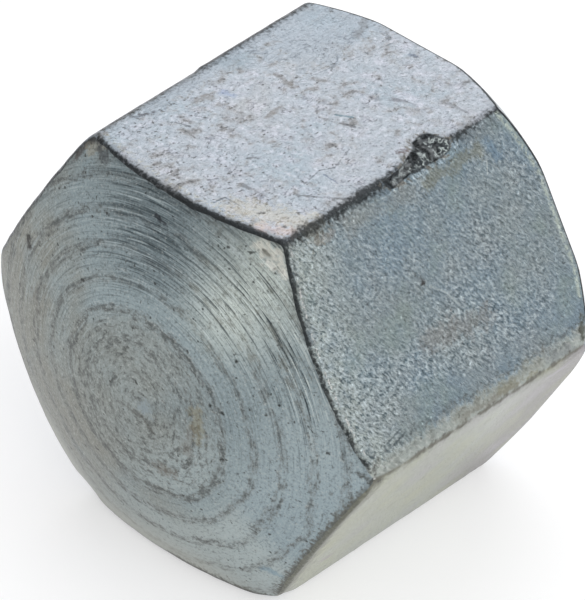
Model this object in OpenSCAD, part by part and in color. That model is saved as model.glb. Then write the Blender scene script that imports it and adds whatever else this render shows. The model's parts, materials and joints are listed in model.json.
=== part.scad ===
// Low hexagon cap nut, turned and drilled from one length of bar.
//
// The nut is built upright in its own maker's frame: the bearing face lies on z = 0
// and the thread's axis is Z, with the domed end on top. It is then laid on one of its
// flats, so that +Z is up, the thread's axis is Y and the open end faces +Y. The
// origin is the centre of the bearing face.

/* [Hexagon] */
// Width across the flats
across_flats = 10; // [9:0.5:13]
// How far each long corner is rounded in from the sharp point
corner_break = 0.04; // [0.01:0.01:0.3]

/* [Domed end] */
// Overall length, from the bearing face to the top of the dome
height = 8.95; // [8:0.05:12]
// Radius of the dome that is turned over the closed end
dome_radius = 11.6; // [9:0.1:30]

/* [Open end] */
// How far outside the flats the rounding of the corners starts, so that it trims only them
corner_start = 0.12; // [-0.4:0.02:0.3]
// Angle at which that rounding leaves the bearing face
corner_angle = 38; // [20:1:45]

/* [Tapped hole] */
// Nominal diameter of the thread
thread_diameter = 6; // [5:0.5:7]
// Pitch of the thread
thread_pitch = 1; // [0.5:0.05:1.25]
// How much wider than the thread the countersink is at its mouth
countersink_extra = 0.5; // [0.2:0.1:1]
// Included angle of the countersink
countersink_angle = 120; // [90:5:120]
// Included angle of the drill's point
drill_point_angle = 118; // [100:1:140]
// Metal left between the tip of the drilled hole and the top of the dome
crown_thickness = 1.2; // [0.6:0.1:2]

/* [Hidden] */

// Number of segments on anything turned
turned = 160;
// How far a cutting body runs past the surface it cuts
overcut = 1;

zinc_blue = [0.68, 0.72, 0.76];

// The hexagon's outer reach
sharp_corner_radius = across_flats / sqrt(3);
corner_radius = sharp_corner_radius - corner_break;

// The corners of the open end are turned to a radius that meets the bearing face on a
// circle, at the given angle. This is that circle, the radius and its centre's height.
corner_circle = across_flats / 2 + corner_start;
corner_turning_radius = corner_circle / sin(corner_angle);
corner_turning_centre = corner_circle / tan(corner_angle);

// The hole is drilled at the thread's minor diameter and tapped afterwards
drill_radius = (thread_diameter - thread_pitch) / 2;
point_length = drill_radius / tan(drill_point_angle / 2);
drilled_depth = height - crown_thickness - point_length;

// The countersink at the mouth
countersink_radius = (thread_diameter + countersink_extra) / 2;
countersink_slope = tan(countersink_angle / 2);
countersink_depth = (countersink_radius - drill_radius) / countersink_slope;

// Drawn hexagon bar with its six long corners slightly rounded. Two flats face +Y and -Y.
module hexagon_bar() {
    intersection() {
        cylinder(r = sharp_corner_radius, h = height, $fn = 6);
        cylinder(r = corner_radius, h = height, $fn = turned);
    }
}

// A round billet with a full radius turned over its top, which is at z = 0. It runs
// straight down from the radius's centre for the length of the nut.
module round_topped_billet(radius) {
    translate([0, 0, -radius])
        sphere(r = radius, $fn = turned);
    translate([0, 0, -radius - height])
        cylinder(r = radius, h = height, $fn = turned);
}

// What the lathe leaves at the closed end: everything under one shallow dome
module under_dome() {
    translate([0, 0, height])
        round_topped_billet(dome_radius);
}

// What the lathe leaves at the open end: everything inside the rounding of the corners
module inside_corner_rounding() {
    translate([0, 0, corner_turning_centre - corner_turning_radius])
        mirror([0, 0, 1])
            round_topped_billet(corner_turning_radius);
}

// The drill with its point
module drilled_hole() {
    translate([0, 0, -overcut])
        cylinder(r = drill_radius, h = drilled_depth + overcut, $fn = turned);
    translate([0, 0, drilled_depth])
        cylinder(r1 = drill_radius, r2 = 0, h = point_length, $fn = turned);
}

// The countersink that leads the thread in, run out past the bearing face
module countersink() {
    translate([0, 0, -overcut])
        cylinder(
            r1 = countersink_radius + overcut * countersink_slope,
            r2 = drill_radius,
            h = countersink_depth + overcut,
            $fn = turned
        );
}

// The nut in the maker's frame
module upright_nut() {
    difference() {
        intersection() {
            hexagon_bar();
            under_dome();
            inside_corner_rounding();
        }
        drilled_hole();
        countersink();
    }
}

// The nut as it lies, on one flat
module cap_nut() {
    color(zinc_blue)
        rotate([90, 0, 0])
            upright_nut();
}

cap_nut();
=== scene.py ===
import ast
import json
import logging
import math
from collections.abc import Mapping
from dataclasses import dataclass
from enum import Enum

import bpy
from mathutils import Matrix, Vector


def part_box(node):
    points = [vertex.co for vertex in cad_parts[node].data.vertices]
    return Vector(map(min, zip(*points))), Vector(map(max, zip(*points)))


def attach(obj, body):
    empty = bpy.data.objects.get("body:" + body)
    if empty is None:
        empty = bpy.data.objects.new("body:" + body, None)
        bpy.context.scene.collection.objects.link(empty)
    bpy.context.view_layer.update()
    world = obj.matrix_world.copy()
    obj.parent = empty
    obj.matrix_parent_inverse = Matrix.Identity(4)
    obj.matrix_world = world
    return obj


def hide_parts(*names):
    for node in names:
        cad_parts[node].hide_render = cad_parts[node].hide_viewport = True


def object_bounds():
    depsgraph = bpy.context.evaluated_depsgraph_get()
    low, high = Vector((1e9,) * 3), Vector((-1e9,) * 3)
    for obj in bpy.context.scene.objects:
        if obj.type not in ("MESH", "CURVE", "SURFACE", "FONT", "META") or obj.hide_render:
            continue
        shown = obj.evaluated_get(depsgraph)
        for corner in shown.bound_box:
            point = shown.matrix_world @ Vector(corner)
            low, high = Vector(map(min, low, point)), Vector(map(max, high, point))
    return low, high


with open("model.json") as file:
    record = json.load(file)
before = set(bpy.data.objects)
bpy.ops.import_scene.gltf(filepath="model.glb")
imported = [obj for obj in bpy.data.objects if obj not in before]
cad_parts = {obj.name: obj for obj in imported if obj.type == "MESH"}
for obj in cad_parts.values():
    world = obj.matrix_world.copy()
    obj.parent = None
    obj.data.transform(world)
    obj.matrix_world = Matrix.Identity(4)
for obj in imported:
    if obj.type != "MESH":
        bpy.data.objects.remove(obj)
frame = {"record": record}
cad_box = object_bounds()

MM = 0.001
NODE = "cap_nut"
log = logging.getLogger("cap_nut")

Value = float | bpy.types.NodeSocket

OPERATORS = {
    ast.Add: "ADD",
    ast.Sub: "SUBTRACT",
    ast.Mult: "MULTIPLY",
    ast.Div: "DIVIDE",
    ast.Pow: "POWER",
}
FUNCTIONS = {
    "sin": "SINE",
    "cos": "COSINE",
    "atan2": "ARCTAN2",
    "sqrt": "SQRT",
    "exp": "EXPONENT",
    "abs": "ABSOLUTE",
    "floor": "FLOOR",
    "fract": "FRACT",
    "min": "MINIMUM",
    "max": "MAXIMUM",
    "above": "GREATER_THAN",
}


def add(tree: bpy.types.NodeTree, kind: str, inputs: Mapping | None = None, **settings) -> bpy.types.Node:
    """Adds a node to a tree, with its settings, values and links.

    Args:
        tree: The tree that gets the node.
        kind: Blender's name for the type of node.
        inputs: What goes into each input, by its name or number: a socket is linked,
            anything else is set as the input's value.
        settings: The node's own properties.

    Returns:
        The new node.
    """
    node = tree.nodes.new(kind)
    for name, setting in settings.items():
        setattr(node, name, setting)
    for key, given in (inputs or {}).items():
        if isinstance(given, bpy.types.NodeSocket):
            tree.links.new(given, node.inputs[key])
        else:
            node.inputs[key].default_value = given
    return node


def formula(tree: bpy.types.NodeTree, text: str, **names: Value) -> Value:
    """Builds a formula out of Math nodes.

    Args:
        tree: The tree that gets the nodes.
        text: The formula, with + - * / ** and the functions in FUNCTIONS. share(x) is x
            held between 0 and 1.
        names: The socket or number that each name in the formula stands for.

    Returns:
        The socket that holds the result.
    """

    def built(term: ast.expr) -> Value:
        """Builds one term of the formula.

        Args:
            term: The term, as Python reads it.

        Returns:
            Its socket or number.
        """
        if isinstance(term, ast.Constant):
            return float(term.value)
        if isinstance(term, ast.Name):
            return names[term.id]
        if isinstance(term, ast.UnaryOp):
            kind, terms = "MULTIPLY", (term.operand, ast.Constant(-1.0))
        elif isinstance(term, ast.BinOp):
            kind, terms = OPERATORS[type(term.op)], (term.left, term.right)
        elif term.func.id == "share":
            # A node that clamps by itself is worked out late, and long formulas then
            # need more room than the renderer has.
            low = add(tree, "ShaderNodeMath", {0: built(term.args[0]), 1: 0.0}, operation="MAXIMUM")
            return add(tree, "ShaderNodeMath", {0: low.outputs[0], 1: 1.0}, operation="MINIMUM").outputs[0]
        else:
            kind, terms = FUNCTIONS[term.func.id], term.args
        inputs = {place: built(each) for place, each in enumerate(terms)}
        return add(tree, "ShaderNodeMath", inputs, operation=kind).outputs[0]

    return built(ast.parse(text.strip()).body[0].value)


def linear(colour: str) -> tuple[float, float, float, float]:
    """Turns an sRGB colour into a linear one.

    Args:
        colour: The colour as # and six hex digits.

    Returns:
        Its red, green, blue and alpha.
    """
    shares = [int(colour[place : place + 2], 16) / 255 for place in (1, 3, 5)]
    red, green, blue = (s / 12.92 if s <= 0.04045 else ((s + 0.055) / 1.055) ** 2.4 for s in shares)
    return red, green, blue, 1.0


# ---------------------------------------------------------------------------- finishes


@dataclass(frozen=True)
class Pattern:
    """A cloudy pattern of light and dark patches, which a finish's formulas use by its name.

    Attributes:
        name: What the formulas call it. Its values lie round 0.5, mostly from 0.3 to 0.7.
        size: How far apart its patches lie, in millimetres.
        finer: How many finer layers it has.
        harsh: How strong the finer layers are, from 0 to 1.
        stretch: How many times longer its patches are along x, y and z.
        ringed: Whether it follows the lathe's rings. Its y is then the distance from the axis.
        shift: How far it is moved, so that two patterns of one size differ.
        tilt: How far it is turned about x, in degrees.
    """

    name: str
    size: float
    finer: float = 2.0
    harsh: float = 0.5
    stretch: tuple[float, float, float] = (1, 1, 1)
    ringed: bool = False
    shift: float = 0.0
    tilt: float = 0.0


# What frays the edges of grime and marks in every finish: crumbs 0.1 mm across, and tongues
# of 0.3 mm.
FRAYS = (Pattern("rag", 0.09, 3.0, shift=2.0), Pattern("fray", 0.3, 2.0, shift=14.0))


@dataclass(frozen=True)
class Film:
    """A film over the plate, or painted light and shade: its colour, and the formula for how much it covers.
    """

    colour: str
    cover: str


@dataclass(frozen=True)
class Mark:
    """One mark on the nut: a spot, a smear or a scratch, along a line between two points.

    Attributes:
        colour: Its colour.
        start: Where it starts, in millimetres.
        end: Where it ends.
        width: How far it reaches on each side of its line.
        cover: How much of the plate it hides, from 0 to 1.
    """

    colour: str
    start: tuple[float, float, float]
    end: tuple[float, float, float]
    width: float
    cover: float


# Where a point lies on the nut, as steps that every finish may use: how far in from the
# nearest flat, and how far from the nearest long corner, the dome's edge and the open end.
PLACES = {
    "p": "abs(z)",
    "q": "abs(x * cos(pi / 6) + z * sin(pi / 6))",
    "s": "abs(x * cos(pi / 6) - z * sin(pi / 6))",
    "most": "max(max(p, q), s)",
    "least": "min(min(p, q), s)",
    "inset": "flat - most",
    "from_corner": "(flat - (p + q + s - most - least)) / cos(pi / 6)",
    "out": "sqrt(x * x + z * z)",
    "from_dome": "y + height - dome + sqrt(dome ** 2 - out ** 2)",
    "from_end": "min(sqrt(turning ** 2 - out ** 2) - turning_centre, 0) - y",
}


@dataclass(frozen=True)
class PlatedSteel:
    """Zinc-plated steel: the bare plate, the films, painted light and shade and marks on it, and its relief.

    Attributes:
        name: The material's name.
        metal: The clean plate's colour.
        roughness: How rough it is.
        anisotropy: How much its gloss is drawn out across the lathe's rings.
        centre: The x and z of the middle of the lathe's rings, in millimetres.
        patterns: Its patterns.
        steps: Formulas by name, each of which may use the ones before it.
        films: Its films and painted light and shade, the lowest first.
        marks: Its marks, which lie over the films.
        grime: Films that lie over the marks, along the edges: grime, with painted shade and highlights.
        relief: Formulas for its heights, and how far apart 0 and 1 lie, in millimetres.
    """

    name: str
    metal: str
    roughness: float
    anisotropy: float = 0.0
    centre: tuple[float, float] = (0.0, 0.0)
    patterns: tuple[Pattern, ...] = ()
    steps: tuple[tuple[str, str], ...] = ()
    films: tuple[Film, ...] = ()
    marks: tuple[Mark, ...] = ()
    grime: tuple[Film, ...] = ()
    relief: tuple[tuple[str, float], ...] = ()

    def material(self, sizes: dict[str, float]) -> bpy.types.Material:
        """Builds the material.

        Args:
            sizes: The nut's sizes by name, in millimetres, for the formulas.

        Returns:
            The material.
        """
        material = bpy.data.materials.new(self.name)
        material.use_nodes = True
        tree = material.node_tree
        tree.nodes.clear()
        given = add(tree, "ShaderNodeTexCoord").outputs["Object"]
        place = add(tree, "ShaderNodeVectorMath", {0: given, "Scale": 1 / MM}, operation="SCALE").outputs[0]
        names = self.measured(tree, place, sizes)
        colour = add(tree, "ShaderNodeRGB").outputs[0]
        colour.default_value = linear(self.metal)
        for coat in (*self.films, *self.marks, *self.grime):
            if isinstance(coat, Mark):
                cover = self.marked(tree, place, names, coat)
            else:
                cover = formula(tree, coat.cover, **names)
            inputs = {0: cover, 6: colour, 7: linear(coat.colour)}
            colour = add(tree, "ShaderNodeMix", inputs, data_type="RGBA").outputs[2]
        shader = {"Base Color": colour, "Metallic": 1.0, "Roughness": self.roughness}
        for height, depth in self.relief:
            inputs = {"Height": formula(tree, height, **names), "Distance": depth * MM, "Strength": 1.0}
            if "Normal" in shader:
                inputs["Normal"] = shader["Normal"]
            shader["Normal"] = add(tree, "ShaderNodeBump", inputs).outputs[0]
        if self.anisotropy:
            tangent = add(tree, "ShaderNodeTangent", direction_type="RADIAL", axis="Y").outputs[0]
            shader.update({"Anisotropic": self.anisotropy, "Tangent": tangent})
        metal = add(tree, "ShaderNodeBsdfPrincipled", shader).outputs["BSDF"]
        add(tree, "ShaderNodeOutputMaterial", {"Surface": metal})
        return material

    def measured(
        self, tree: bpy.types.NodeTree, place: bpy.types.NodeSocket, sizes: dict[str, float]
    ) -> dict[str, Value]:
        """Works out what the formulas use.

        Args:
            tree: The material's tree.
            place: The socket with the point's place in millimetres.
            sizes: The nut's sizes by name.

        Returns:
            The sizes, the point's places, the patterns and the finish's own steps, by name.
        """
        across, up = self.centre
        names: dict[str, Value] = {**sizes, "pi": math.pi, "cx": across, "cz": up}
        names.update(zip("xyz", add(tree, "ShaderNodeSeparateXYZ", {0: place}).outputs, strict=True))
        for name, text in PLACES.items():
            names[name] = formula(tree, text, **names)
        names["r"] = formula(tree, "sqrt((x - cx) ** 2 + (z - cz) ** 2)", **names)
        names["turn"] = formula(tree, "atan2(z - cz, x - cx)", **names)
        rings = add(tree, "ShaderNodeCombineXYZ", {0: names["x"], 1: names["r"], 2: names["z"]}).outputs[0]
        for pattern in (*FRAYS, *self.patterns):
            inputs = {
                "Vector": rings if pattern.ringed else place,
                "Scale": pattern.stretch,
                "Location": (-pattern.shift, -2 * pattern.shift, pattern.shift),
                "Rotation": (math.radians(pattern.tilt), 0.0, 0.0),
            }
            moved = add(tree, "ShaderNodeMapping", inputs, vector_type="TEXTURE").outputs[0]
            inputs = {"Vector": moved, "Scale": 1 / pattern.size}
            inputs.update({"Detail": pattern.finer, "Roughness": pattern.harsh})
            names[pattern.name] = add(tree, "ShaderNodeTexNoise", inputs).outputs["Fac"]
        names["dent"] = add(tree, "ShaderNodeAttribute", attribute_name="dent").outputs["Fac"]
        for name, text in self.steps:
            names[name] = formula(tree, text, **names)
        return names

    def marked(
        self, tree: bpy.types.NodeTree, place: bpy.types.NodeSocket, names: dict[str, Value], mark: Mark
    ) -> Value:
        """Works out how much a mark covers at a point.

        Args:
            tree: The material's tree.
            place: The socket with the point's place in millimetres.
            names: The names for formulas, the fraying patterns among them.
            mark: The mark.

        Returns:
            The socket that holds the cover.
        """
        line = Vector(mark.end) - Vector(mark.start)
        offset = add(tree, "ShaderNodeVectorMath", {0: place, 1: mark.start}, operation="SUBTRACT").outputs[0]
        inputs = {0: offset, 1: line / line.length_squared}
        along = add(tree, "ShaderNodeVectorMath", inputs, operation="DOT_PRODUCT").outputs["Value"]
        along = formula(tree, "share(along)", along=along)
        foot = add(tree, "ShaderNodeVectorMath", {0: line, "Scale": along}, operation="SCALE").outputs[0]
        gap = add(tree, "ShaderNodeVectorMath", {0: offset, 1: foot}, operation="DISTANCE").outputs["Value"]
        # The cover falls off from the line to the mark's edge, which both patterns fray.
        text = "cover * share(1.4 * (1 - gap / width) + 3 * (rag - 0.5) + 3 * (fray - 0.5))"
        return formula(tree, text, **{**names, "gap": gap, "width": mark.width, "cover": mark.cover})


# Zinc plate over a dome that was turned on a lathe. The tool left fine rings, which draw
# the gloss out into fans and hold a dull brown residue, most of it round the middle.
# The fans of gloss, and shade and glints along the rings, are also painted into the colour.
@dataclass(frozen=True)
class TurnedDome(PlatedSteel):
    """The plate on the domed end."""

    name: str = "turned_zinc_plated_steel"
    metal: str = "#919ea1"
    roughness: float = 0.4
    anisotropy: float = 0.45
    centre: tuple[float, float] = (0.05, -0.2)
    patterns: tuple[Pattern, ...] = (
        # The lathe's feed, 0.08 mm a turn, with a finer scratch or two in each.
        Pattern("fine", 0.05, 2.0, 0.6, stretch=(24, 1, 24), ringed=True),
        # Uneven cutting over three or four turns.
        Pattern("coarse", 0.28, 2.0, stretch=(12, 1, 12), ringed=True, shift=3.0),
        # Clots of residue, 0.05 to 0.2 mm across and slightly drawn out along the rings.
        Pattern("mottle", 0.13, 5.0, 0.68, (1.7, 1, 1.7), True, 7.0),
        # The crystals of the plate, 5 to 10 microns, drawn at 0.065 mm so that they show.
        Pattern("speck", 0.065, 3.0, 0.7, shift=5.0),
        # Pits in the plate, 0.05 mm across and drawn at 0.13 mm so that they show.
        Pattern("pits", 0.13, 1.0, shift=17.0),
        # How unevenly handling dulled the plate, over 1 mm and more.
        Pattern("patchy", 1.3, 3.0, shift=5.0),
    )
    steps: tuple[tuple[str, str], ...] = (
        # Where the gloss fans out dark and light, which films below paint as shade and a highlight; where the
        # grooves are deep; and where they show.
        ("dark", "exp(-((turn - 1.66) / (0.31 - 0.08 * share(r - 3.8))) ** 2) * share((r - 2.5) / 1.2)"),
        ("light", "exp(-((turn - 1.02) / 0.24) ** 2) * share((r - 2.6) / 1.2)"),
        ("deep", "exp(-((turn - 0.62) / 0.28) ** 2) * exp(-((r - 4.6) / 0.5) ** 2)"),
        ("middle", "share((2.5 - r) / 0.5)"),
        (
            "keen",
            "share(0.14 + 0.75 * dark + 0.5 * light + deep + 0.22 * share(abs(x)) * share(z + 0.5)"
            " - 0.1 * middle)",
        ),
        # The rings that hold residue: one every 0.7 mm, each wandering a little.
        ("rings", "share(1.4 * cos(2 * pi * (r - 2.3 + 0.5 * (patchy - 0.5)) / 0.7) - 0.2) * share(r - 1.2)"),
        ("clean", "share((r - 2.4) / 0.8) * share(0.24 * x - 0.3 * z - 0.35)"),
        ("warm", "share(0.2 - 0.19 * x - 0.13 * z + 0.1 * middle + 2.4 * (patchy - 0.5) - 0.5 * light)"),
        ("band", "exp(-(inset / 0.08) ** 2)"),
        ("below", "share(-0.5 * z - 1) * share(1.5 - 0.5 * x)"),
        ("worn", "share(-2 * z) * above(x, 0)"),
    )
    films: tuple[Film, ...] = (
        Film("#868479", "0.8 * warm"),
        Film("#8e938f", "0.65 * middle"),
        Film("#a9b6b8", "0.6 * middle * share(0.5 * x - 0.6 * z - 0.6)"),
        Film("#b2bcbc", "0.8 * clean"),
        Film("#8c9da5", "0.65 * clean * share(x + 0.8 * z - 0.6)"),
        Film("#79868a", "0.4 * exp(-((turn - 0.45) / 0.4) ** 2) * share((4.2 - r) / 1.5)"),
        Film("#757876", "0.5 * share(5 * (mottle - 0.555 + 0.19 * rings + 0.09 * middle))"),
        Film(
            "#505351",
            "0.7 * share(7 * (mottle - 0.63 + 0.13 * rings + 0.11 * middle + 0.04 * warm))"
            " * (1 - 0.6 * dark)",
        ),
        Film("#a9b6b8", "0.4 * share(5 * (0.43 - mottle))"),
        # Painted shade and painted highlight: the dark fan and the bright fan of the gloss.
        Film("#5d6a70", "0.5 * dark"),
        Film("#d3dcd5", "0.9 * light"),
        # Painted shade in the grooves and painted highlights on their crests, strongest in the fans.
        Film("#434d51", "keen * share(8 * (0.46 + 0.02 * dark - fine))"),
        Film("#3f484b", "0.6 * (dark + 0.2 * light) * share(9 * (0.46 - coarse))"),
        Film("#2c3336", "0.6 * deep * share(8 * (0.43 - fine))"),
        Film("#a3afb2", "keen * share(9 * (fine - 0.55))"),
        Film("#d3dcd8", "share(0.8 * light + 0.8 * deep + 0.12 * keen) * share(12 * (fine - 0.585))"),
        Film("#838780", "0.7 * (light + 0.5 * deep) * share(8 * (mottle - 0.53 + 0.05 * rings))"),
        Film("#464947", "0.6 * share(6 * (speck - 0.54))"),
        Film("#bfc3bf", "0.5 * share(6 * (0.45 - speck))"),
        Film("#3b3c3a", "0.8 * share(14 * (pits - 0.7))"),
        Film("#b9bab2", "0.75 * below * exp(-(inset / 0.7) ** 2)"),
        # Painted shade along the rim, except at the bottom.
        Film("#4f5253", "0.4 * exp(-(inset / 0.14) ** 2) * (1 - below)"),
    )
    marks: tuple[Mark, ...] = (
        # Ochre and brown stains round the middle, and the smooth pip with a swirl beside it.
        Mark("#8c8468", (1.63, -8.81, 0.55), (1.75, -8.82, -0.24), 0.2, 0.42),
        Mark("#6f6559", (0.61, -8.82, -1.65), (0.95, -8.79, -1.64), 0.22, 0.45),
        Mark("#6f6559", (1.51, -8.85, -0.13), (1.40, -8.84, -0.75), 0.2, 0.3),
        Mark("#8f9a9e", (0.25, -8.95, -0.07), (0.28, -8.95, -0.14), 0.24, 0.8),
        Mark("#4f4e4a", (-0.48, -8.93, -0.37), (0.16, -8.94, -0.40), 0.09, 0.6),
        Mark("#4f4e4a", (0.16, -8.94, -0.40), (0.48, -8.92, -0.68), 0.08, 0.6),
        Mark("#6b6862", (-3.72, -8.23, 0.62), (-3.55, -8.30, 0.18), 0.16, 0.6),
        # Pits that hold dirt.
        Mark("#2f302e", (1.99, -8.75, 0.83), (2.00, -8.74, 0.82), 0.07, 0.9),
        Mark("#2f302e", (2.30, -8.70, 0.75), (2.31, -8.69, 0.74), 0.06, 0.9),
        Mark("#2f302e", (2.48, -8.48, 2.15), (2.49, -8.47, 2.14), 0.06, 0.9),
        Mark("#2f302e", (3.59, -8.29, 1.44), (3.60, -8.28, 1.43), 0.05, 0.9),
        Mark("#333330", (-4.18, -8.03, 1.72), (-4.14, -8.07, 1.55), 0.13, 0.95),
        # Smudges near the corners.
        Mark("#5a5b58", (-2.95, -7.58, 4.75), (-3.75, -7.64, 3.45), 0.09, 0.6),
        Mark("#55514e", (-3.16, -7.68, 4.20), (-2.87, -7.52, 4.78), 0.12, 0.8),
        Mark("#4c4d4b", (-2.87, -7.52, 4.78), (-2.72, -7.43, 5.00), 0.14, 0.85),
        Mark("#4d4d49", (5.30, -7.55, 0.14), (5.56, -7.42, -0.02), 0.12, 0.85),
        Mark("#33353a", (-0.32, -8.09, 4.38), (0.03, -8.11, 4.33), 0.06, 0.8),
        Mark("#7f98a6", (2.99, -7.94, -3.68), (3.34, -7.83, -3.69), 0.14, 0.6),
        Mark("#e6e5da", (2.35, -7.64, 4.78), (2.98, -7.57, 4.50), 0.24, 0.8),
        Mark("#f0efe6", (2.62, -7.68, 4.46), (3.05, -7.60, 4.35), 0.14, 0.75),
        Mark("#77766c", (2.50, -7.66, 4.68), (2.62, -7.64, 4.62), 0.08, 0.7),
        Mark("#77766c", (2.86, -7.64, 4.42), (2.98, -7.62, 4.36), 0.07, 0.7),
        Mark("#a9a698", (-2.76, -7.61, 4.66), (-2.37, -7.58, 4.93), 0.2, 0.6),
        Mark("#4c4e4e", (-2.84, -7.46, 4.90), (-2.47, -7.44, 5.00), 0.16, 0.85),
        Mark("#55585a", (-2.45, -7.62, 4.78), (-2.22, -7.67, 4.80), 0.2, 0.8),
    )
    grime: tuple[Film, ...] = (
        Film("#605f58", "0.85 * worn * share(2.2 * exp(-(inset / 0.19) ** 2) + 4 * (rag - 0.5) - 0.5)"),
        # Dark grime with painted shade in it along the rim, less of it at the bottom.
        Film(
            "#303335",
            "(0.9 - 0.35 * worn) * (1 - 0.75 * below) * share(1.3 * band + 3 * (rag - 0.5) - 0.3)",
        ),
    )
    relief: tuple[tuple[str, float], ...] = (("coarse", 0.015), ("fine * keen", 0.025), ("speck", 0.008))
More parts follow.
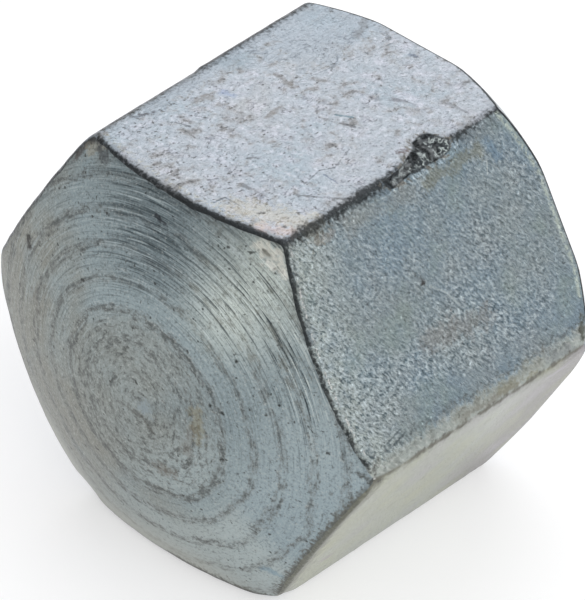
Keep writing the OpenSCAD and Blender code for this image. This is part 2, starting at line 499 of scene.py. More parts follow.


# Zinc plate over cold-drawn bar. The die left it flat with a fine matt grain that sparkles
# where light grazes it; handling left stains and scratches on it and grime along its edges.
# The sparkle on its grain, shade along its edges and in the dent, and bright lines along some edges are
# painted into its colour.
@dataclass(frozen=True)
class DrawnFlat(PlatedSteel):
    """The plate on the six flats."""

    name: str = "drawn_zinc_plated_steel"
    metal: str = "#a7aeb4"
    roughness: float = 0.32
    patterns: tuple[Pattern, ...] = (
        # Slow changes in the plate's tint, over 1 to 2 mm.
        Pattern("broad", 1.6, 3.0),
        # Clots of grime, 0.1 to 0.3 mm across, and the zones of 1 mm that they gather in.
        Pattern("clots", 0.24, 5.0, 0.62, (1, 1.3, 1), shift=4.0),
        Pattern("zones", 1.1, 3.0, 0.55, shift=15.0),
        # Stains that handling left, 0.5 mm apart.
        Pattern("stains", 0.5, 5.0, 0.6, shift=4.0),
        # The plate's cells, about 30 microns, drawn at 0.13 mm so that they show.
        Pattern("cells", 0.13, 4.0, 0.65, shift=6.0),
        # The crystals of the plate, 5 to 10 microns, drawn at 0.06 mm so that they show.
        Pattern("grain", 0.06, 3.0, 0.55, (1, 1, 2.4), shift=1.0, tilt=35.0),
        # Wrinkles that the die pressed in, 0.12 mm apart.
        Pattern("wrinkle", 0.12, 2.0, 0.5, (1, 1, 2.6), shift=21.0, tilt=35.0),
        # Crumbs of grime, up to 0.1 mm across.
        Pattern("speck", 0.085, 3.0, stretch=(1, 1.5, 1), shift=9.0),
        # Hairline scratches, 0.4 mm apart, each where this pattern passes through its middle.
        Pattern("hair", 0.4, 3.0, stretch=(1, 1.5, 1), shift=8.0),
        # The die's own lines along the bar, 0.05 mm apart.
        Pattern("drawn", 0.05, 2.0, stretch=(1, 30, 1), shift=18.0),
        # How far the grime and painted shade reach from the edges, which changes every 0.6 mm.
        Pattern("wide", 0.6, 1.0, shift=11.0),
        # The passivation's violet and yellow tints, in patches of about 1 mm.
        Pattern("tints", 1.2, 2.0, shift=19.0),
        # The folds of crumpled metal in the dent, 0.2 mm apart.
        Pattern("scar", 0.2, 3.0, 0.5, shift=12.0),
    )
    steps: tuple[tuple[str, str], ...] = (
        ("top", "above(0.001, most - p) * above(z, 0)"),
        ("right", "above(0.001, most - q) * above(x, 0) * (1 - top)"),
        ("low", "above(0.001, most - s) * above(x, 0) * (1 - right) * (1 - top)"),
        ("plain", "0.4 + 0.6 * top - 0.35 * right - 0.35 * low"),
        # The strips and the patch of the top flat that stayed smooth.
        ("patch", "share(3 * (-x - 0.8 + 2 * (stains - 0.5))) * share(2 * (y + 2.9 + 3 * (stains - 0.5)))"),
        ("strip", "share(5 * (-x - 2.25 + stains - 0.5)) * share(3 * (y + 6.2))"),
        ("smooth", "top * max(patch, strip)"),
        ("soft", "above(x, 0) * exp(-(z / 0.5) ** 2)"),
        ("chipped", "above(x, 0) * above(z, 3)"),
        ("outer", "above(-x, 0) * above(z, 3)"),
        ("reach", "0.03 + 0.07 * share(3 * (wide - 0.35))"),
        ("lip", "exp(-(from_dome / ((0.04 + reach) * (1 - 0.5 * right - 0.3 * share(-x)))) ** 2)"),
        ("chip", "chipped * (0.03 + 0.08 * share(-9 * (y + 2.3)))"),
        ("corner", "exp(-(from_corner / (reach + chip + 0.13 * outer)) ** 2) * (1 - 0.85 * soft)"),
        # The worn border along one corner, and the shaded band beyond it.
        ("border", "right * share(6 * (0.45 + 0.4 * (fray - 0.5) + 0.3 * (rag - 0.5) - z)) * above(2, z)"),
        ("sill", "right * exp(-((z - 0.48 - 0.4 * (fray - 0.5)) / 0.06) ** 2)"),
        # Painted shadow on the flat just below the chipped long corner.
        ("under", "right * exp(-(from_corner / 0.35) ** 2) * chipped"),
        ("shade", "exp(-(min(from_dome, from_corner) / 0.17) ** 2) * (1 - 0.85 * soft)"),
        # Where painted sparkle and shade on the grain are strongest: near the dome and along a band below the
        # middle.
        (
            "lively",
            "share(0.36 + 0.6 * exp(-((z - 1.6) / 0.6) ** 2) * share(-0.4 * y - 0.3)"
            " + 0.7 * exp(-(from_dome / 1) ** 2) - 0.4 * exp(-((z - 0.7) / 0.25) ** 2)"
            " + 2 * (zones - 0.5))",
        ),
        # Painted glints: bright lines along the wrinkles, on the lighter grains.
        ("flakes", "share(1 - 9 * abs(wrinkle - 0.52)) * share(6 * (grain - 0.42))"),
    )
    films: tuple[Film, ...] = (
        Film("#98a7af", "0.8 * share(4 * (broad - 0.5))"),
        Film("#aaa69f", "0.6 * share(4 * (0.43 - broad)) * (1 - right)"),
        Film("#949fa1", "0.9 * right"),
        Film("#8a9ca8", "0.8 * right * share(0.5 + 4 * (broad - 0.5) + 0.4 * share(y + 4) * share(z - 3))"),
        Film("#9a9b9a", "0.3 * right * share(5 * (zones - 0.52))"),
        Film("#96a59c", "0.4 * right * share(7 * (0.46 - zones))"),
        Film("#bcc4be", "0.85 * right * exp(-(from_dome / 1.1) ** 2) * share(0.8 + 4 * (stains - 0.5))"),
        Film("#a9ada0", "0.9 * low"),
        Film("#b6b8ac", "0.7 * low * share(-0.3 * (y + 4))"),
        Film("#7f7c74", "0.9 * low * share(0.48 * (y + 2.95))"),
        Film("#aca4b2", "0.45 * low * share(3 * (tints - 0.5) + 0.1 * (y + 4.5))"),
        Film("#b2b492", "0.55 * low * share(3 * (0.5 - tints) - 0.06 * (y + 3))"),
        Film("#c3c3cc", "0.6 * top * share(5 * (stains - 0.5)) * (1 - smooth)"),
        Film("#9ca6ae", "0.5 * smooth"),
        Film("#858e94", "0.5 * smooth * share(5 * (drawn - 0.52))"),
        Film("#85857f", "0.7 * top * exp(-((smooth - 0.4) / 0.25) ** 2) * share(7 * (rag - 0.47))"),
        Film("#a5aba5", "0.9 * border"),
        Film("#747670", "0.6 * border * share(7 * (0.5 * clots + 0.5 * fray - 0.5))"),
        # Painted glints on the worn border.
        Film("#babcb7", "0.5 * border * share(9 * (flakes - 0.4))"),
        Film("#6d7475", "0.8 * sill * share(0.6 + 5 * (rag - 0.5))"),
        Film("#80848b", "0.35 * share(4 * (cells - 0.5)) * plain"),
        Film("#cdcfd6", "0.7 * share(5 * (0.47 - cells)) * top * (1 - 0.6 * smooth)"),
        Film("#979796", "0.65 * share(5 * (clots + 0.6 * (zones - 0.5) - 0.5)) * plain * (1 - 0.7 * smooth)"),
        Film("#807f7d", "0.6 * share(8 * (clots + 0.6 * (zones - 0.5) - 0.58)) * plain * (1 - 0.8 * smooth)"),
        Film("#4d4e4f", "0.7 * share(9 * (0.6 * clots + 0.4 * rag + 0.4 * (zones - 0.5) - 0.6)) * plain"),
        Film("#565c62", "0.6 * share(1 - 30 * abs(hair - 0.5)) * share(6 * (stains - 0.47)) * plain"),
        # The plate's dark and light grain, with painted shade and sparkle on it, strongest on one flat.
        Film(
            "#46585f",
            "share(7 * (0.48 - grain)) * (0.15 + right * (0.15 + 0.5 * lively)) * (1 - 0.7 * border)",
        ),
        Film(
            "#d2dcde",
            "share(7 * (grain - 0.55)) * (0.15 + right * (0.1 + 0.45 * lively)) * (1 - 0.6 * border)",
        ),
        # Painted glints along the wrinkles.
        Film("#d0dcdf", "0.72 * right * flakes * lively * (1 - border)"),
        Film("#4c4e4c", "share(9 * (speck + 0.4 * stains - 0.015 * y - 0.895)) * (0.3 + 0.5 * top)"),
        # Painted highlight: a light line on the top flat, just in from the dome.
        Film("#c4c3b4", "0.5 * top * exp(-((from_dome - 0.22) / 0.08) ** 2) * share(8 * (rag - 0.5))"),
        # Painted shadow below the chipped corner, mottled by the stains.
        Film("#4c5356", "0.26 * under * share(0.4 + 5 * (stains - 0.5))"),
        Film("#55585a", "0.5 * shade * (1 - 0.7 * right * (1 - chipped)) * (1 - low)"),
    )
    marks: tuple[Mark, ...] = (
        # Dashes, cracks and smears on the top flat.
        Mark("#57757e", (0.51, -3.26, 5.00), (0.83, -3.06, 5.00), 0.035, 0.7),
        Mark("#5a5d60", (0.78, -3.42, 5.00), (1.11, -3.30, 5.00), 0.04, 0.6),
        Mark("#6a6f73", (1.75, -5.70, 5.00), (1.63, -5.00, 5.00), 0.03, 0.7),
        Mark("#6a6f73", (1.63, -5.00, 5.00), (1.80, -4.70, 5.00), 0.03, 0.7),
        Mark("#6a6f73", (1.80, -4.70, 5.00), (1.57, -4.00, 5.00), 0.03, 0.6),
        Mark("#6a7686", (1.80, -5.05, 5.00), (2.40, -5.08, 5.00), 0.03, 0.7),
        Mark("#5f6060", (1.90, -6.00, 5.00), (2.70, -5.40, 5.00), 0.045, 0.6),
        Mark("#5a5b5b", (0.80, -6.55, 5.00), (1.50, -6.50, 5.00), 0.07, 0.6),
        Mark("#77736d", (-0.48, -4.35, 5.00), (-0.58, -3.95, 5.00), 0.12, 0.6),
        Mark("#77736d", (-1.40, -3.10, 5.00), (-0.85, -3.15, 5.00), 0.12, 0.6),
        Mark("#7d7a75", (-2.05, -5.00, 5.00), (-1.90, -4.70, 5.00), 0.14, 0.6),
        Mark("#87939a", (-2.60, -3.50, 5.00), (-2.30, -3.25, 5.00), 0.3, 0.5),
        Mark("#65686a", (0.20, -5.78, 5.00), (0.35, -5.58, 5.00), 0.08, 0.7),
        Mark("#6f7274", (1.90, -1.25, 5.00), (2.50, -1.15, 5.00), 0.07, 0.5),
        Mark("#6f6f73", (1.00, -1.95, 5.00), (1.20, -1.85, 5.00), 0.09, 0.6),
        Mark("#5f6a7a", (0.15, -0.45, 5.00), (0.30, -0.38, 5.00), 0.07, 0.6),
        Mark("#6a6f73", (2.68, -6.19, 5.00), (2.87, -5.45, 5.00), 0.028, 0.6),
        Mark("#59646e", (0.79, -7.45, 5.00), (0.84, -7.15, 5.00), 0.032, 0.8),
        Mark("#59646e", (0.84, -7.15, 5.00), (1.30, -7.15, 5.00), 0.032, 0.8),
        Mark("#55585c", (-2.40, -7.33, 5.00), (-2.39, -7.11, 5.00), 0.04, 0.7),
        Mark("#55585c", (-1.81, -5.92, 5.00), (-1.48, -5.80, 5.00), 0.04, 0.7),
        Mark("#55585c", (0.15, -6.96, 5.00), (0.26, -6.76, 5.00), 0.04, 0.7),
        Mark("#8291ad", (-1.80, -4.40, 5.00), (-1.63, -4.33, 5.00), 0.13, 0.5),
        Mark("#b8b2a0", (1.34, -7.21, 5.00), (2.8, -6.6, 5.00), 0.5, 0.45),
        Mark("#c2aeab", (2.19, -7.38, 5.00), (2.62, -7.11, 5.00), 0.24, 0.4),
        Mark("#33322f", (1.77, -7.02, 5.00), (1.79, -7.01, 5.00), 0.07, 0.8),
        Mark("#33322f", (2.45, -7.03, 5.00), (2.5, -7.02, 5.00), 0.06, 0.8),
        Mark("#33322f", (2.35, -6.45, 5.00), (2.37, -6.4, 5.00), 0.06, 0.7),
        Mark("#54565b", (-2.58, -6.41, 5.00), (-2.41, -5.99, 5.00), 0.07, 0.75),
        Mark("#77797a", (-1.18, -0.73, 5.00), (-1.48, -0.11, 5.00), 0.12, 0.5),
        Mark("#7d858a", (-0.93, -2.86, 5.00), (-0.38, -0.20, 5.00), 0.025, 0.7),
        # Stains, a spot and scratches on the flat to its right.
        Mark("#38312e", (4.09, -4.31, 2.92), (4.10, -4.29, 2.89), 0.08, 0.9),
        Mark("#8d7f72", (3.05, -6.65, 4.71), (3.09, -6.12, 4.64), 0.15, 0.35),
        Mark("#9d9e97", (3.10, -5.60, 4.62), (3.14, -3.60, 4.55), 0.26, 0.3),
        Mark("#8c8a72", (3.17, -3.27, 4.51), (3.16, -1.54, 4.52), 0.22, 0.45),
        Mark("#7590a6", (3.14, -1.25, 4.57), (3.37, -1.07, 4.16), 0.15, 0.5),
        Mark("#cdd5d4", (3.32, -1.41, 4.25), (3.53, -1.59, 3.89), 0.035, 0.8),
        Mark("#b7c1c2", (4.19, -4.15, 2.75), (4.34, -3.80, 2.47), 0.035, 0.7),
        Mark("#b7c1c2", (4.34, -3.80, 2.47), (4.56, -3.56, 2.10), 0.035, 0.7),
        Mark("#95908a", (4.70, -4.70, 1.86), (4.85, -3.00, 1.60), 0.35, 0.4),
        Mark("#5c676b", (5.45, -6.90, 0.56), (5.39, -6.35, 0.67), 0.03, 0.7),
        Mark("#5c676b", (5.51, -6.76, 0.46), (5.45, -6.22, 0.57), 0.03, 0.6),
        Mark("#84898b", (5.62, -1.72, 0.26), (5.74, -1.02, 0.05), 0.25, 0.6),
        Mark("#98998f", (5.66, -4.80, 0.20), (5.63, -2.03, 0.24), 0.26, 0.45),
        Mark("#8f8d76", (5.67, -3.32, 0.18), (5.74, -2.21, 0.06), 0.15, 0.5),
        Mark("#56534c", (5.73, -6.00, -0.02), (5.73, -1.10, -0.02), 0.1, 0.8),
        Mark("#85837a", (5.73, -7.30, -0.01), (5.73, -5.80, -0.01), 0.05, 0.6),
        Mark("#77736a", (5.66, -4.60, 0.14), (5.70, -2.60, 0.10), 0.11, 0.45),
        Mark("#4d4d49", (5.60, -7.38, 0.26), (5.72, -7.33, -0.06), 0.13, 0.85),
        Mark("#5c5150", (2.42, -3.30, 5.00), (2.48, -3.12, 5.00), 0.1, 0.85),
        Mark("#33343a", (2.90, -0.68, 4.98), (2.89, -0.54, 4.99), 0.16, 0.8),
        Mark("#5d5f56", (5.44, -0.47, 0.60), (5.70, -0.66, 0.12), 0.09, 0.85),
        # Tints on the flat below that.
        Mark("#a8a2b0", (5.45, -1.51, -0.56), (5.45, -0.92, -0.55), 0.18, 0.5),
        Mark("#a294a2", (3.64, -6.79, -3.70), (3.56, -6.44, -3.83), 0.15, 0.5),
        # Smudges at one end of the long corner at the back of the top flat.
        Mark("#4a4b49", (-2.85, -7.55, 5.00), (-2.6, -7.5, 5.00), 0.16, 0.9),
        Mark("#4a4b49", (-2.72, -7.43, 5.00), (-2.73, -7.23, 5.00), 0.12, 0.85),
        Mark("#55544e", (-2.85, -7.4, 5.00), (-2.85, -5.6, 5.00), 0.12, 0.8),
    )
    grime: tuple[Film, ...] = (
        Film(
            "#605f57",
            "0.65 * low * share(1.7 * exp(-(min(2.2 * from_corner, from_dome) / 0.34) ** 2)"
            " + 3 * (fray - 0.5) - 0.3)",
        ),
        Film("#6f6e65", "0.7 * above(x, 0) * exp(-((z + 0.02) / 0.07) ** 2) * share(0.9 + 3 * (fray - 0.5))"),
        # Painted highlights: bright lines just inside both ends of one flat, where its rounded edges catch
        # the light.
        Film(
            "#e6e6e2",
            "right * exp(-((from_dome - 0.12) / 0.025) ** 2) * share(9 * (fray - 0.44))"
            " * share(12 * (rag - 0.45))",
        ),
        Film(
            "#c6d0c6",
            "0.9 * right * above(z, 0.9) * exp(-((from_end - 0.15) / 0.06) ** 2)"
            " * share(0.8 + 8 * (rag - 0.5))",
        ),
        # The grime outside them, at the open end, the dome and the long corners, with painted shade in it.
        Film("#56554e", "0.9 * share(1.6 * exp(-(from_end / 0.05) ** 2) + 2 * (rag - 0.5) - 0.3)"),
        Film(
            "#2e3132",
            "0.9 * share((1.4 + 0.4 * chipped) * max(lip, corner) + 3.2 * (rag - 0.5) - 0.3)"
            " * (1 - 0.6 * low)",
        ),
        # The crumpled metal in the dent: dirt and painted shade in its folds, painted highlights on its
        # ridges, speckles round it.
        Film("#8d8a7e", "0.6 * share(5 * dent) * share(8 * (rag + fray - 1))"),
        Film("#6b6a66", "share(4 * dent) * share(8 * (rag + 0.6 * fray - 0.83))"),
        Film("#3f4345", "0.95 * share(6 * (dent - 0.3))"),
        Film("#1f2223", "share(6 * (dent - 0.3)) * share(9 * (0.485 - scar))"),
        Film(
            "#bac3c0",
            "0.9 * share(6 * (dent - 0.45)) * share(1 - 16 * abs(scar - 0.56))"
            " * share(0.6 + 0.9 * (y + 3.2) + 4 * (fray - 0.5))",
        ),
        Film("#85898a", "0.6 * share(6 * (dent - 0.35)) * share(8 * (fray - 0.55))"),
    )
    relief: tuple[tuple[str, float], ...] = (
        ("broad", 0.03),
        ("stains", 0.012),
        ("cells * top", 0.008),
        ("grain * (1 - 0.6 * border)", 0.03),
        ("wrinkle * right * (1 - 0.8 * border)", 0.046),
        ("scar * dent", 0.1),
    )


# Zinc plate over an open end that was faced and chamfered on a lathe. It stays clean and
# bright, with close rings and a little residue.
@dataclass(frozen=True)
class FacedEnd(PlatedSteel):
    """The plate on the open end."""

    name: str = "faced_zinc_plated_steel"
    metal: str = "#a9b2b8"
    roughness: float = 0.36
    anisotropy: float = 0.4
    patterns: tuple[Pattern, ...] = (
        # The facing cut's feed, 0.1 mm a turn.
        Pattern("fine", 0.1, 1.0, stretch=(36, 1, 36), ringed=True),
        # Residue that the rinse left, in patches of about 1 mm.
        Pattern("patchy", 1.1, 3.0, shift=5.0),
        # The crystals of the plate, 5 to 10 microns, drawn at 0.05 mm so that they show.
        Pattern("speck", 0.05, 2.0, shift=5.0),
    )
    films: tuple[Film, ...] = (
        Film("#7b7e7b", "0.6 * share(3 * (patchy - 0.52))"),
        Film("#5b6063", "0.5 * share(6 * (0.46 - fine))"),
        Film("#c6cdd0", "0.4 * share(6 * (fine - 0.55))"),
        Film("#5d605e", "0.4 * share(7 * (speck - 0.56))"),
        Film("#35383a", "share(1.5 * exp(-(inset / 0.07) ** 2) + 2.4 * (rag - 0.5) - 0.3)"),
    )
    relief: tuple[tuple[str, float], ...] = (("fine", 0.02), ("speck", 0.006))


# Thin zinc plate in a hole that was drilled and tapped, darker with depth; the tap left the flanks slightly
# torn.
@dataclass(frozen=True)
class TappedHole(PlatedSteel):
    """The plate in the hole."""

    name: str = "tapped_zinc_plated_steel"
    metal: str = "#9aa0a3"
    roughness: float = 0.38
    patterns: tuple[Pattern, ...] = (
        # Torn flanks, 0.1 mm from one tear to the next.
        Pattern("torn", 0.1, 2.0, stretch=(2, 0.5, 2)),
        # Cutting oil that dried in the thread, in patches of 0.8 mm.
        Pattern("patchy", 0.8, 3.0, shift=5.0),
    )
    films: tuple[Film, ...] = (
        Film("#4c4d4c", "share(0.1 - y / 9)"),
        Film("#5f5b54", "0.6 * share(4 * (patchy - 0.52))"),
    )
    relief: tuple[tuple[str, float], ...] = (("torn", 0.006),)


# ------------------------------------------------------------------------------ the nut


class Finish(Enum):
    """The finishes that the nut's surface has, each with how it is made."""

    TURNED = TurnedDome()
    DRAWN = DrawnFlat()
    FACED = FacedEnd()
    TAPPED = TappedHole()


@dataclass(frozen=True)
class Stretch:
    """A stretch of the nut's surface, between two rings round it.

    Its rows run from one ring to the other, as v runs from 0 to 1. In the formulas, close
    and ends are v with the rows closer together at the far end or at both ends, and hub is
    what out comes to.
    """

    rows: int
    out: str
    along: str
    finish: Finish


DOME_Y = "(dome - height - sqrt(dome ** 2 - ({}) ** 2))"
TURNED_Y = "min(sqrt(max(turning ** 2 - ({}) ** 2, 0)) - turning_centre, 0)"
BENT = "((1 - v) ** 2 * ({}) + 2 * v * (1 - v) * ({}) + v ** 2 * ({}))"

SKIN = (
    Stretch(64, "close * rim", DOME_Y.format("hub"), Finish.TURNED),
    Stretch(5, BENT.format("rim", "hex", "hex"), BENT.format("rim_y", "hex_y", "hex_y + lip"), Finish.DRAWN),
    Stretch(76, "hex", "hex_y + lip + ends * (end_y - edge - hex_y - lip)", Finish.DRAWN),
    Stretch(
        4,
        BENT.format("hex", "hex", "hex - edge"),
        BENT.format("end_y - edge", "end_y", TURNED_Y.format("hex - edge")),
        Finish.FACED,
    ),
    Stretch(6, "hex - edge + v * (circle - hex + edge)", TURNED_Y.format("hub"), Finish.FACED),
    Stretch(14, "circle + ends * (mouth - circle)", "0 * v", Finish.FACED),
    Stretch(
        90,
        "max(mouth + slope * hole_y, bore + (thread - bore) * form * share((hole_y + tapped) / pitch))",
        "-v * tapped",
        Finish.TAPPED,
    ),
    Stretch(3, "bore + 0 * v", "-tapped + v * (tapped - drilled)", Finish.TAPPED),
    Stretch(6, "bore * (1 - v)", "-drilled - v * bore / point", Finish.TAPPED),
)


# How far apart the edges of two stretches may lie and still be joined, in millimetres.
WELD = 2e-4

# How far apart the wide and the narrow places of the dome's lip lie, in millimetres.
LIP_PATCH = 0.4

# The unevenness of the worn surface, as its patches for each millimetre and its finer layers:
# tears 0.25 mm apart and waves 1.4 mm apart.
UNEVEN = {"fine": (4.0, 3.0), "broad": (0.7, 2.0)}


@dataclass
class CapNut:
    """A hexagon cap nut: one solid with a domed closed end and a tapped hole.

    Its lengths are in millimetres and its angles in radians. The lip is the rounding where the
    dome meets the flats, end_edge is the one at the open end, corner_circle is where the turned
    corners meet the open end, and around is how many faces go round.
    """

    half_flats: float
    height: float
    corner_radius: float
    bore_radius: float
    bore_length: float
    dome_radius: float = 11.6
    corner_circle: float = 5.12
    corner_angle: float = math.radians(38)
    mouth_radius: float = 3.25
    countersink_slope: float = math.tan(math.radians(60))
    pitch: float = 1.0
    thread_radius: float = 3.0
    tapped_depth: float = 5.65
    point_slope: float = math.tan(math.radians(59))
    lip: float = 0.09
    end_edge: float = 0.05
    around: int = 336

    @classmethod
    def from_frame(cls) -> "CapNut":
        """Takes the nut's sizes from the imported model's box and its thread mount.

        Returns:
            The nut.
        """
        low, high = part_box(NODE)
        thread = next(m for m in frame["record"]["mounts"] if m["name"] == "thread")
        return cls(
            half_flats=high.z / MM,
            height=-low.y / MM,
            corner_radius=high.x / MM,
            bore_radius=thread["dims"]["r_mm"],
            bore_length=thread["dims"]["length_mm"],
        )

    def sizes(self) -> dict[str, float]:
        """Works out the sizes that shape the skin.

        Returns:
            The sizes, by the names that formulas use.
        """
        sharp = self.half_flats / math.cos(math.pi / 6)
        countersink_depth = (self.mouth_radius - self.bore_radius) / self.countersink_slope
        return {
            "flat": self.half_flats,
            "height": self.height,
            "fillet": (sharp - self.corner_radius) / (1 / math.cos(math.pi / 6) - 1),
            "dome": self.dome_radius,
            "lip": self.lip,
            "edge": self.end_edge,
            "circle": self.corner_circle,
            "turning": self.corner_circle / math.sin(self.corner_angle),
            "turning_centre": self.corner_circle / math.tan(self.corner_angle),
            "mouth": self.mouth_radius,
            "slope": self.countersink_slope,
            "bore": self.bore_radius,
            "thread": self.thread_radius,
            "pitch": self.pitch,
            "tapped": self.tapped_depth,
            "drilled": self.bore_length + countersink_depth,
            "point": self.point_slope,
        }

    def tree(self) -> bpy.types.NodeTree:
        """Builds the Geometry Nodes tree that makes the nut's skin.

        Returns:
            The tree, with an input for each size.
        """
        tree = bpy.data.node_groups.new("cap_nut_skin", "GeometryNodeTree")
        tree.interface.new_socket("Geometry", in_out="OUTPUT", socket_type="NodeSocketGeometry")
        for name, size in self.sizes().items():
            socket = tree.interface.new_socket(name, in_out="INPUT", socket_type="NodeSocketFloat")
            socket.default_value = size
        given = tree.nodes.new("NodeGroupInput")
        names: dict[str, Value] = {name: given.outputs[name] for name in self.sizes()}
        self.lay_out(tree, names)
        joined = tree.nodes.new("GeometryNodeJoinGeometry")
        finishes = list(Finish)
        for stretch in SKIN:
            made = self.surface(tree, names, stretch, finishes.index(stretch.finish))
            tree.links.new(made, joined.inputs[0])
        inputs = {"Geometry": joined.outputs[0], "Distance": WELD}
        merged = add(tree, "GeometryNodeMergeByDistance", inputs)
        worn = self.wear(tree, names, merged.outputs[0])
        smooth = add(tree, "GeometryNodeSetShadeSmooth", {"Geometry": worn})
        place = tree.nodes.new("GeometryNodeInputPosition").outputs[0]
        metres = add(tree, "ShaderNodeVectorMath", {0: place, "Scale": MM}, operation="SCALE").outputs[0]
        sized = add(tree, "GeometryNodeSetPosition", {"Geometry": smooth.outputs[0], "Position": metres})
        dressed = add(tree, "GeometryNodeRealizeInstances", {"Geometry": sized.outputs[0]}).outputs[0]
        number = add(tree, "GeometryNodeInputNamedAttribute", {"Name": "finish"}, data_type="INT").outputs[0]
        for index, finish in enumerate(finishes):
            inputs = {2: number, 3: index}
            chosen = add(tree, "FunctionNodeCompare", inputs, data_type="INT", operation="EQUAL").outputs[0]
            material = finish.value.material(self.sizes())
            inputs = {"Geometry": dressed, "Selection": chosen, "Material": material}
            dressed = add(tree, "GeometryNodeSetMaterial", inputs).outputs[0]
        add(tree, "NodeGroupOutput", {0: dressed})
        return tree

    def lay_out(self, tree: bpy.types.NodeTree, names: dict[str, Value]) -> None:
        """Adds to the names what depends on where a vertex lies round the nut and in its row.

        Args:
            tree: The tree that gets the nodes.
            names: The sockets by name, which this adds to.
        """
        position = tree.nodes.new("GeometryNodeInputPosition").outputs[0]
        split = add(tree, "ShaderNodeSeparateXYZ", {0: position})
        names["pi"] = math.pi
        names["u"] = formula(tree, "u + 0.5", u=split.outputs[0])
        names["v"] = formula(tree, "v + 0.5", v=split.outputs[1])
        steps = {
            # The rows, drawn closer together at the far end or at both ends of a stretch.
            "close": "v + 0.7 * sin(pi * v) / pi",
            "ends": "v - 0.8 * sin(2 * pi * v) / (2 * pi)",
            # The way round the nut, with the columns drawn closer together at the long corners.
            "w": "2 * fract(6 * u) - 1",
            "swing": "pi / 6 * (w + 0.85 * sin(pi * w) / pi)",
            "angle": "-(pi / 3 * floor(6 * u) + pi / 6 + swing)",
            # How far out the hexagon with its rounded corners lies.
            "reach": "(flat - fillet) / cos(pi / 6)",
            "tip": "pi / 6 - abs(swing)",
            "rounded": "reach * cos(tip) + sqrt(max(fillet ** 2 - (reach * sin(tip)) ** 2, 0))",
            "plain": "flat / cos(swing)",
            "past": "above(flat * sin(abs(swing)) / cos(swing), (flat - fillet) * sin(pi / 6) / cos(pi / 6))",
            "hex": "plain + past * (rounded - plain)",
            # The rings where one stretch ends and the next begins.
            "rim": "hex - lip",
            "rim_y": DOME_Y.format("rim"),
            "hex_y": DOME_Y.format("hex"),
            "end_y": TURNED_Y.format("hex"),
            "circle": "min(circle, hex - 2 * edge)",
            # How far a place in the hole is through its turn of the thread, and the thread's form.
            "hole_y": "-v * tapped",
            "turn": "fract((hole_y + pitch * angle / (2 * pi)) / pitch)",
            "form": "0.5 - 0.5 * cos(pi * share((abs(2 * turn - 1) - 0.2) / 0.72))",
        }
        for name, text in steps.items():
            names[name] = formula(tree, text, **names)
            if name == "plain":
                self.roughen_lip(tree, names)

    def roughen_lip(self, tree: bpy.types.NodeTree, names: dict[str, Value]) -> None:
        """Makes the rounding at the dome's edge wider in some places than in others.

        Args:
            tree: The tree that gets the nodes.
            names: The sockets by name, whose lip this changes.
        """
        ring = {0: "flat * cos(angle)", 2: "flat * sin(angle)"}
        inputs = {axis: formula(tree, text, **names) for axis, text in ring.items()}
        out = add(tree, "ShaderNodeCombineXYZ", inputs).outputs[0]
        noise = add(tree, "ShaderNodeTexNoise", {"Vector": out, "Scale": 1 / LIP_PATCH, "Detail": 3.0})
        names["lip"] = formula(tree, "lip * (0.2 + 1.6 * n)", n=noise.outputs["Fac"], **names)

    def surface(
        self, tree: bpy.types.NodeTree, names: dict[str, Value], stretch: Stretch, number: int
    ) -> bpy.types.NodeSocket:
        """Makes one stretch of the skin.

        Args:
            tree: The tree that gets the nodes.
            names: The sockets that the stretch's formulas use.
            stretch: The stretch.
            number: The number of its finish.

        Returns:
            The socket that holds its faces.
        """
        inputs = {"Size X": 1.0, "Size Y": 1.0, "Vertices X": self.around + 1, "Vertices Y": stretch.rows + 1}
        grid = add(tree, "GeometryNodeMeshGrid", inputs)
        out = formula(tree, stretch.out, **names)
        inputs = {
            0: formula(tree, "out * cos(angle)", out=out, **names),
            1: formula(tree, stretch.along, hub=out, **names),
            2: formula(tree, "out * sin(angle)", out=out, **names),
        }
        place = add(tree, "ShaderNodeCombineXYZ", inputs).outputs[0]
        inputs = {"Geometry": grid.outputs["Mesh"], "Position": place}
        bent = add(tree, "GeometryNodeSetPosition", inputs)
        inputs = {"Geometry": bent.outputs[0], "Name": "finish", "Value": number}
        return add(tree, "GeometryNodeStoreNamedAttribute", inputs, data_type="INT", domain="FACE").outputs[0]

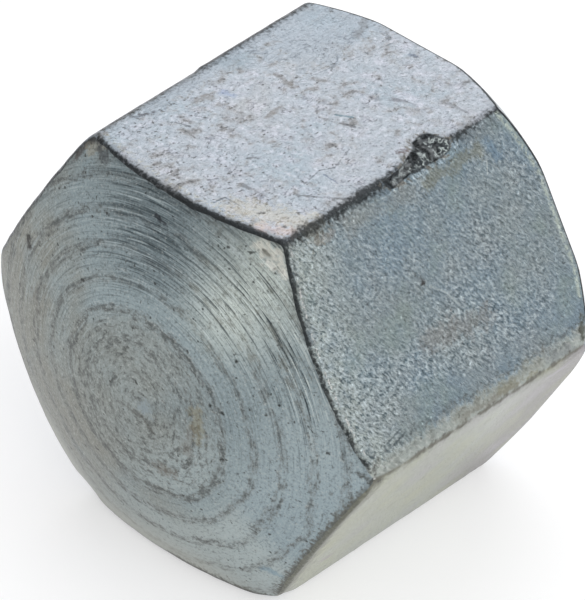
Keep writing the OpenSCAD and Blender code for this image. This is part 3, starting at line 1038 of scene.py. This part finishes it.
    def wear(
        self, tree: bpy.types.NodeTree, names: dict[str, Value], skin: bpy.types.NodeSocket
    ) -> bpy.types.NodeSocket:
        """Knocks the tips, rubs one long corner, dents another and makes the surface slightly uneven.

        Args:
            tree: The tree that gets the nodes.
            names: The sockets of the nut's sizes.
            skin: The socket that holds the new skin.

        Returns:
            The socket that holds the worn skin.
        """
        position = tree.nodes.new("GeometryNodeInputPosition").outputs[0]
        split = add(tree, "ShaderNodeSeparateXYZ", {0: position})
        worn = {key: names[key] for key in ("flat", "pi")}
        worn.update(zip("xyz", split.outputs, strict=True))
        for name, (scale, detail) in UNEVEN.items():
            noise = add(tree, "ShaderNodeTexNoise", {"Vector": position, "Scale": scale, "Detail": detail})
            worn[name] = noise.outputs["Fac"]
        sharp = self.half_flats / math.cos(math.pi / 6)
        tip_y = self.dome_radius - self.height - math.sqrt(self.dome_radius**2 - sharp**2)
        worn.update(sharp=sharp, tip_y=tip_y)
        steps = {
            # How far from the nearest long corner, along the surface and inwards from its edge.
            "out": "sqrt(x * x + z * z)",
            "sixth": "abs(fract(atan2(z, x) / (pi / 3) + 0.5) - 0.5) * pi / 3",
            "side": "out * sin(sixth)",
            "short": "sharp - out * cos(sixth)",
            "skin": "above(out, 0.9 * flat)",
            # The knocked tips and the ragged long corners.
            "tips": "(0.06 - 0.01 * z) * exp(-(short ** 2 + side ** 2 + (y - tip_y) ** 2) / 0.16)",
            "near": "exp(-(side / 0.14) ** 2 - (short / 0.12) ** 2)",
            "rag": "0.05 * (fine - 0.3) * near",
            # The rubbed end of one long corner, and the softer edge of another.
            "rub": (
                "0.045 * share((-4 - y) / 0.1) * share(-x) * share(z)"
                " * exp(-(side / 0.35) ** 2 - (short / 0.15) ** 2)"
            ),
            "soft": "0.05 * share(x) * exp(-(z / 0.3) ** 2 - (short / 0.2) ** 2)",
            # The dent: 2.4 mm of one long corner, pushed in over up to 0.6 mm of its flat.
            "way": "share((y + 4.45) / 2.36)",
            "window": "share(6 * way) * share(9 * (1 - way)) * share(9 * (x - 1)) * share(1 - (5 - z) / 0.3)",
            "dip": "share(1.3 - (2.887 - x) / (0.05 + 0.54 * sin(2.5 * way ** 2.7))) * window",
            "dent": "share(1.5 * dip + 1.4 * (fine - 0.5) * share(4 * dip))",
            # The unevenness of the drawn bar.
            "waves": "0.012 * broad * skin",
            "depth": "tips + rag + rub + soft + waves + dent * (0.08 + 0.12 * fine)",
        }
        for name, text in steps.items():
            worn[name] = formula(tree, text, **worn)
        inputs = {"Geometry": skin, "Name": "dent", "Value": worn["dent"]}
        noted = add(tree, "GeometryNodeStoreNamedAttribute", inputs, data_type="FLOAT", domain="POINT")
        normal = tree.nodes.new("GeometryNodeInputNormal").outputs[0]
        inwards = formula(tree, "-depth", **worn)
        offset = add(tree, "ShaderNodeVectorMath", {0: normal, "Scale": inwards}, operation="SCALE")
        inputs = {"Geometry": noted.outputs[0], "Offset": offset.outputs[0]}
        return add(tree, "GeometryNodeSetPosition", inputs).outputs[0]

    def build(self) -> bpy.types.Object:
        """Makes the nut as one plain mesh in its place.

        Returns:
            The nut's object.
        """
        piece = bpy.data.objects.new("cap_nut_body", bpy.data.meshes.new("cap_nut_body"))
        bpy.context.scene.collection.objects.link(piece)
        tree = self.tree()
        modifier = piece.modifiers.new("skin", "NODES")
        modifier.node_group = tree
        sizes = self.sizes()
        for socket in tree.interface.items_tree:
            if socket.in_out == "INPUT":
                modifier[socket.identifier] = sizes[socket.name]
        graph = bpy.context.evaluated_depsgraph_get()
        mesh = bpy.data.meshes.new_from_object(
            piece.evaluated_get(graph), preserve_all_data_layers=True, depsgraph=graph
        )
        piece.modifiers.clear()
        piece.data = mesh
        return piece


# --------------------------------------------------------------------------- the studio


@dataclass(frozen=True)
class SoftBox:
    """A square lamp that faces the nut: where it stands and how bright it looks.

    Its angles are in degrees and its lengths in metres.
    """

    name: str
    azimuth: float
    elevation: float
    side: float
    brightness: float
    colour: str = "#ffffff"
    distance: float = 0.3

    def build(self) -> bpy.types.Object:
        """Makes the lamp.

        Returns:
            The lamp's object.
        """
        lamp = bpy.data.lights.new(self.name, "AREA")
        lamp.size = self.side
        lamp.energy = self.brightness * math.pi * self.side**2
        lamp.color = linear(self.colour)[:3]
        holder = bpy.data.objects.new(self.name, lamp)
        bpy.context.scene.collection.objects.link(holder)
        outwards = direction(self.azimuth, self.elevation)
        holder.location = outwards * self.distance
        holder.rotation_euler = outwards.to_track_quat("Z", "Y").to_euler()
        return holder


def direction(azimuth: float, elevation: float) -> Vector:
    """Works out the way to a point seen from the nut.

    Args:
        azimuth: Its bearing in degrees: 0 towards -Y and 90 towards +X.
        elevation: Its height over the level, in degrees.

    Returns:
        The way, one unit long.
    """
    a, e = math.radians(azimuth), math.radians(elevation)
    return Vector((math.sin(a) * math.cos(e), -math.cos(a) * math.cos(e), math.sin(e)))


@dataclass(frozen=True)
class Studio:
    """A pale floor, soft light all round and the camera.

    Angles are in degrees, lengths in metres, and the lens and the sensor in millimetres.
    camera_aside moves the camera to its own right and up, as shares of the width across the
    flats.
    """

    lamps: tuple[SoftBox, ...] = (
        SoftBox("key_softbox", 222, 40, 0.30, 1.12, "#fbfbff"),
        SoftBox("side_softbox", 110, 45, 0.22, 1.5, "#fbfdff"),
        SoftBox("front_softbox", 60, 50, 0.16, 1.6, "#fffaf4"),
    )
    floor_colour: str = "#c6c6c6"
    floor_side: float = 1.2
    floor_lift: float = 0.5
    light_at_horizon: float = 0.36
    light_overhead: float = 0.5
    camera_azimuth: float = 41.837
    camera_elevation: float = 37.344
    camera_roll: float = -1.621
    camera_distance: float = 0.2019
    camera_aside: tuple[float, float] = (-0.2678, -0.17)
    lens: float = 540.0
    sensor: float = 36.0
    clip: tuple[float, float] = (0.01, 10.0)

    def build(self) -> None:
        """Makes the floor, the world, the lamps and the camera."""
        self.floor()
        self.world()
        for lamp in self.lamps:
            lamp.build()
        self.camera()
        bpy.context.scene.view_settings.view_transform = "Standard"

    def floor(self) -> None:
        """Makes the floor that the nut lies on."""
        half, level = self.floor_side / 2, cad_box[0].z
        mesh = bpy.data.meshes.new("floor")
        corners = [(x, y, level) for x, y in ((-half, -half), (half, -half), (half, half), (-half, half))]
        mesh.from_pydata(corners, [], [(0, 1, 2, 3)])
        floor = bpy.data.objects.new("floor", mesh)
        bpy.context.scene.collection.objects.link(floor)
        # White seamless paper, pressed and uncoated: matt, so it shows only a soft shadow.
        material = bpy.data.materials.new("white_paper")
        material.use_nodes = True
        tree = material.node_tree
        tree.nodes.clear()
        path = add(tree, "ShaderNodeLightPath").outputs
        rays = {kind: path[f"Is {kind.title()} Ray"] for kind in ("camera", "glossy", "transmission")}
        seen = formula(tree, "lift * share(camera + glossy + transmission)", lift=self.floor_lift, **rays)
        paper = add(tree, "ShaderNodeBsdfDiffuse", {"Color": linear(self.floor_colour)})
        lift = add(tree, "ShaderNodeEmission", {"Strength": seen})
        both = add(tree, "ShaderNodeAddShader", {0: paper.outputs[0], 1: lift.outputs[0]})
        add(tree, "ShaderNodeOutputMaterial", {"Surface": both.outputs[0]})
        mesh.materials.append(material)

    def world(self) -> None:
        """Makes the light of the room, which is dimmer near the horizon."""
        world = bpy.data.worlds.new("room")
        world.use_nodes = True
        bpy.context.scene.world = world
        tree = world.node_tree
        tree.nodes.clear()
        way = add(tree, "ShaderNodeTexCoord").outputs["Generated"]
        height = add(tree, "ShaderNodeSeparateXYZ", {0: way}).outputs[2]
        levels = {"low": self.light_at_horizon, "high": self.light_overhead}
        strength = formula(tree, "low + high * share(height)", height=height, **levels)
        air = add(tree, "ShaderNodeBackground", {"Color": linear("#fbfcff"), "Strength": strength})
        add(tree, "ShaderNodeOutputWorld", {"Surface": air.outputs[0]})

    def camera(self) -> None:
        """Makes the camera, which looks at the domed end from above and to one side."""
        back = direction(self.camera_azimuth, self.camera_elevation)
        a, roll = math.radians(self.camera_azimuth), math.radians(self.camera_roll)
        right = Vector((math.cos(a), math.sin(a), 0))
        up = back.cross(right)
        right, up = (
            right * math.cos(roll) - up * math.sin(roll),
            right * math.sin(roll) + up * math.cos(roll),
        )
        across, above = self.camera_aside
        size = 2 * cad_box[1].z
        data = bpy.data.cameras.new("camera")
        data.lens = self.lens
        data.sensor_width = self.sensor
        data.clip_start, data.clip_end = self.clip
        camera = bpy.data.objects.new("camera", data)
        bpy.context.scene.collection.objects.link(camera)
        turn = Matrix((right, up, back)).transposed().to_4x4()
        spot = right * across * size + up * above * size + back * self.camera_distance
        camera.matrix_world = Matrix.Translation(spot) @ turn
        bpy.context.scene.camera = camera


def main() -> None:
    """Builds the nut and the studio round it."""
    logging.basicConfig(level=logging.INFO, format="%(name)s: %(message)s")
    nut = CapNut.from_frame()
    body = nut.build()
    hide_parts(NODE)
    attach(body, "root")
    log.info("%s has %d faces", body.name, len(body.data.polygons))
    Studio().build()


if __name__ == "__main__":
    main()
